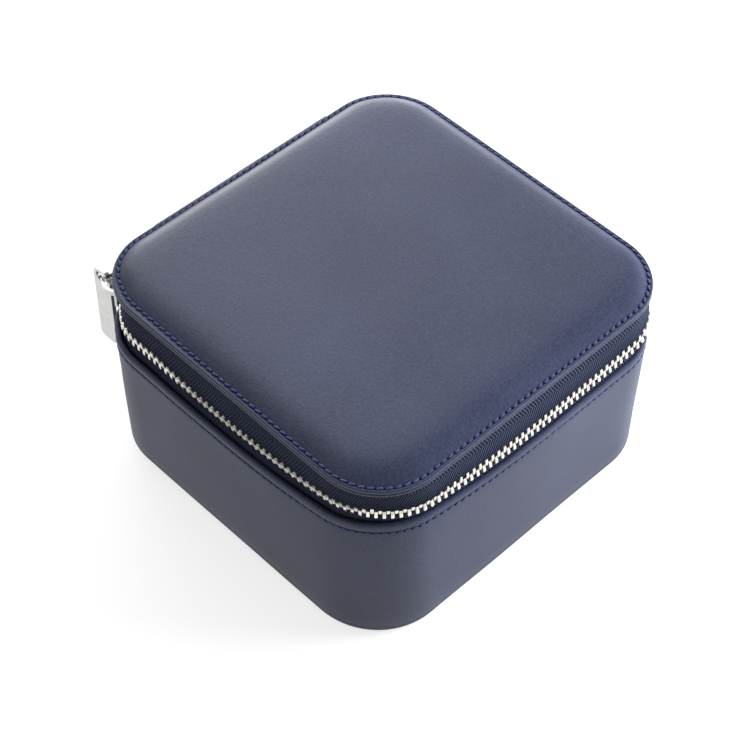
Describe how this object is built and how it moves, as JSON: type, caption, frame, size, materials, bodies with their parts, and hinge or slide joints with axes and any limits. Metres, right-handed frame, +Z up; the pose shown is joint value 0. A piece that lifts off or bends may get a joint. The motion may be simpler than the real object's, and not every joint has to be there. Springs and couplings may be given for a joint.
{
  "type": "jewellery case",
  "caption": "Square leather zip-round jewellery case: lined rigid base with dividers and ring rolls, padded lid on a back hinge, metal zip with slider and pull.",
  "frame": {"origin": "middle of the underside of the base, without the hinge strip", "axes": "+Z up, +X to the right along the front edge, +Y to the back, where the hinge is"},
  "size_m": [0.108, 0.1137, 0.0632],
  "materials": {
    "case_leather": "navy pebbled leather, satin",
    "board": "grey board",
    "suede": "navy suede",
    "padding": "suede over foam",
    "tape": "navy herringbone zip tape",
    "zip_metal": "pale nickel plate on brass",
    "bright_metal": "polished nickel plate on brass"
  },
  "bodies": {
    "base": {"base_wall_leather": "case_leather", "base_bottom_leather": "case_leather", "base_wall_board": "board", "base_floor_board": "board", "base_wall_lining": "suede", "base_floor_lining": "suede", "base_rim_facing": "suede", "long_divider": "suede", "short_divider": "suede", "ring_roll_1": "padding", "ring_roll_2": "padding", "ring_roll_3": "padding", "ring_roll_4": "padding", "hinge_strip_lower": "case_leather", "hinge_gusset_lower": "suede", "zip_tape_lower": "tape", "zip_teeth_lower": "zip_metal", "zip_stop_lower": "zip_metal"},
    "lid": {"lid_leather": "case_leather", "lid_padding": "padding", "lid_board": "board", "lid_welt": "case_leather", "lid_lining": "suede", "lid_rim_facing": "suede", "lid_pocket": "suede", "lid_pocket_elastic": "suede", "hinge_strip_upper": "case_leather", "hinge_gusset_upper": "suede", "zip_tape_upper": "tape", "zip_teeth_upper": "zip_metal", "zip_stop_upper": "zip_metal"},
    "slider": {"slider_body": "bright_metal", "slider_crown": "bright_metal"},
    "pull": {"pull_tab": "bright_metal"}
  },
  "joints": [
    {"name": "lid_hinge", "type": "hinge", "parent": "base", "child": "lid", "pos_m": [0, 0.05375, 0.048], "axis": [-1, 0, 0], "range_deg": [0, 105], "deforming": ["zip_tape_upper", "zip_teeth_upper"]},
    {"name": "slider_run", "type": "hinge", "parent": "base", "child": "slider", "pos_m": [-0.036, 0.03475, 0.048], "axis": [0, 0, 1], "range_deg": [0, 60], "deforming": ["zip_teeth_lower"]},
    {"name": "pull_swing", "type": "hinge", "parent": "slider", "child": "pull", "pos_m": [-0.04411, 0.05702, 0.048], "axis": [1, 0, 0], "range_deg": [0, 50]}
  ]
}
